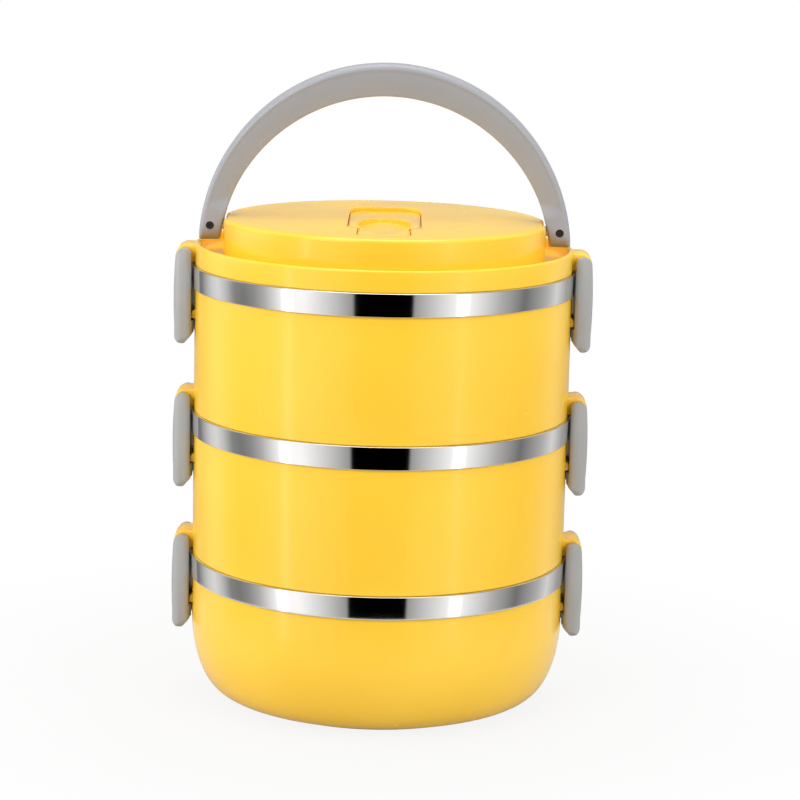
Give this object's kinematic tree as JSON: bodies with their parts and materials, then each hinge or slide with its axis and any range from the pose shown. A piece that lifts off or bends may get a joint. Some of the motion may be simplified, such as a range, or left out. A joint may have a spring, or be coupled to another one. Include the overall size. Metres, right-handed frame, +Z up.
{
  "type": "tiffin carrier",
  "caption": "Stacked round food carrier: steel bowls in plastic shells, clipped together by side latches, with a vented lid and an arched carrying handle.",
  "frame": {"origin": "centre of the foot ring, on the surface that the carrier stands on", "axes": "+Z up along the stack's axis, latches on +X and -X, +Y to the back"},
  "size_m": [0.1636, 0.15, 0.2516],
  "materials": {
    "yellow_plastic": "satin gloss moulded plastic, warm yellow",
    "polished_steel": "polished stainless steel, faint turned lines",
    "grey_plastic": "fine satin moulded plastic, warm grey",
    "silicone": "translucent white silicone",
    "pin_steel": "plain steel",
    "dark_screw": "blackened steel"
  },
  "bodies": {
    "base": {"base_shell": "yellow_plastic", "base_liner": "polished_steel"},
    "middle_tier": {"middle_shell": "yellow_plastic", "middle_liner": "polished_steel", "middle_gasket": "silicone", "middle_latch_pins": "pin_steel"},
    "top_tier": {"top_shell": "yellow_plastic", "top_liner": "polished_steel", "top_gasket": "silicone", "top_latch_pins": "pin_steel"},
    "lid": {"lid_cover": "yellow_plastic", "lid_inner": "yellow_plastic", "lid_gasket": "silicone", "lid_latch_pins": "pin_steel", "handle_pins": "pin_steel", "vent_pin": "pin_steel"},
    "handle": {"handle": "grey_plastic", "handle_screws": "dark_screw"},
    "vent": {"vent_lever": "yellow_plastic", "vent_seal": "silicone"},
    "lid_latch_left": {"lid_latch_left": "grey_plastic"},
    "lid_latch_right": {"lid_latch_right": "grey_plastic"},
    "top_latch_left": {"top_latch_left": "grey_plastic"},
    "top_latch_right": {"top_latch_right": "grey_plastic"},
    "middle_latch_left": {"middle_latch_left": "grey_plastic"},
    "middle_latch_right": {"middle_latch_right": "grey_plastic"}
  },
  "joints": [
    {"name": "middle_lift", "type": "slide", "parent": "base", "child": "middle_tier", "axis": [0, 0, 1], "range_m": [0, 0.03]},
    {"name": "top_lift", "type": "slide", "parent": "middle_tier", "child": "top_tier", "axis": [0, 0, 1], "range_m": [0, 0.03]},
    {"name": "lid_lift", "type": "slide", "parent": "top_tier", "child": "lid", "axis": [0, 0, 1], "range_m": [0, 0.03]},
    {"name": "handle_swing", "type": "hinge", "parent": "lid", "child": "handle", "pos_m": [0, 0, 0.1876], "axis": [1, 0, 0], "range_deg": [-30, 30]},
    {"name": "vent_lift", "type": "hinge", "parent": "lid", "child": "vent", "pos_m": [0, 0.0215, 0.19], "axis": [-1, 0, 0], "range_deg": [0, 25]},
    {"name": "lid_latch_left_open", "type": "hinge", "parent": "lid", "child": "lid_latch_left", "pos_m": [-0.0777, 0, 0.1756], "axis": [0, 1, 0], "range_deg": [0, 120.5]},
    {"name": "lid_latch_right_open", "type": "hinge", "parent": "lid", "child": "lid_latch_right", "pos_m": [0.0777, 0, 0.1756], "axis": [0, -1, 0], "range_deg": [0, 120.5]},
    {"name": "top_latch_left_open", "type": "hinge", "parent": "top_tier", "child": "top_latch_left", "pos_m": [-0.0777, 0, 0.1183], "axis": [0, 1, 0], "range_deg": [0, 120.5]},
    {"name": "top_latch_right_open", "type": "hinge", "parent": "top_tier", "child": "top_latch_right", "pos_m": [0.0777, 0, 0.1183], "axis": [0, -1, 0], "range_deg": [0, 120.5]},
    {"name": "middle_latch_left_open", "type": "hinge", "parent": "middle_tier", "child": "middle_latch_left", "pos_m": [-0.0777, 0, 0.061], "axis": [0, 1, 0], "range_deg": [0, 120.5]},
    {"name": "middle_latch_right_open", "type": "hinge", "parent": "middle_tier", "child": "middle_latch_right", "pos_m": [0.0777, 0, 0.061], "axis": [0, -1, 0], "range_deg": [0, 120.5]}
  ],
  "couplings": [
    {"joint": "lid_latch_left_open", "follows": "lid_lift", "rad_per_m": 69.813},
    {"joint": "lid_latch_right_open", "follows": "lid_lift", "rad_per_m": 69.813},
    {"joint": "top_latch_left_open", "follows": "top_lift", "rad_per_m": 69.813},
    {"joint": "top_latch_right_open", "follows": "top_lift", "rad_per_m": 69.813},
    {"joint": "middle_latch_left_open", "follows": "middle_lift", "rad_per_m": 69.813},
    {"joint": "middle_latch_right_open", "follows": "middle_lift", "rad_per_m": 69.813}
  ]
}
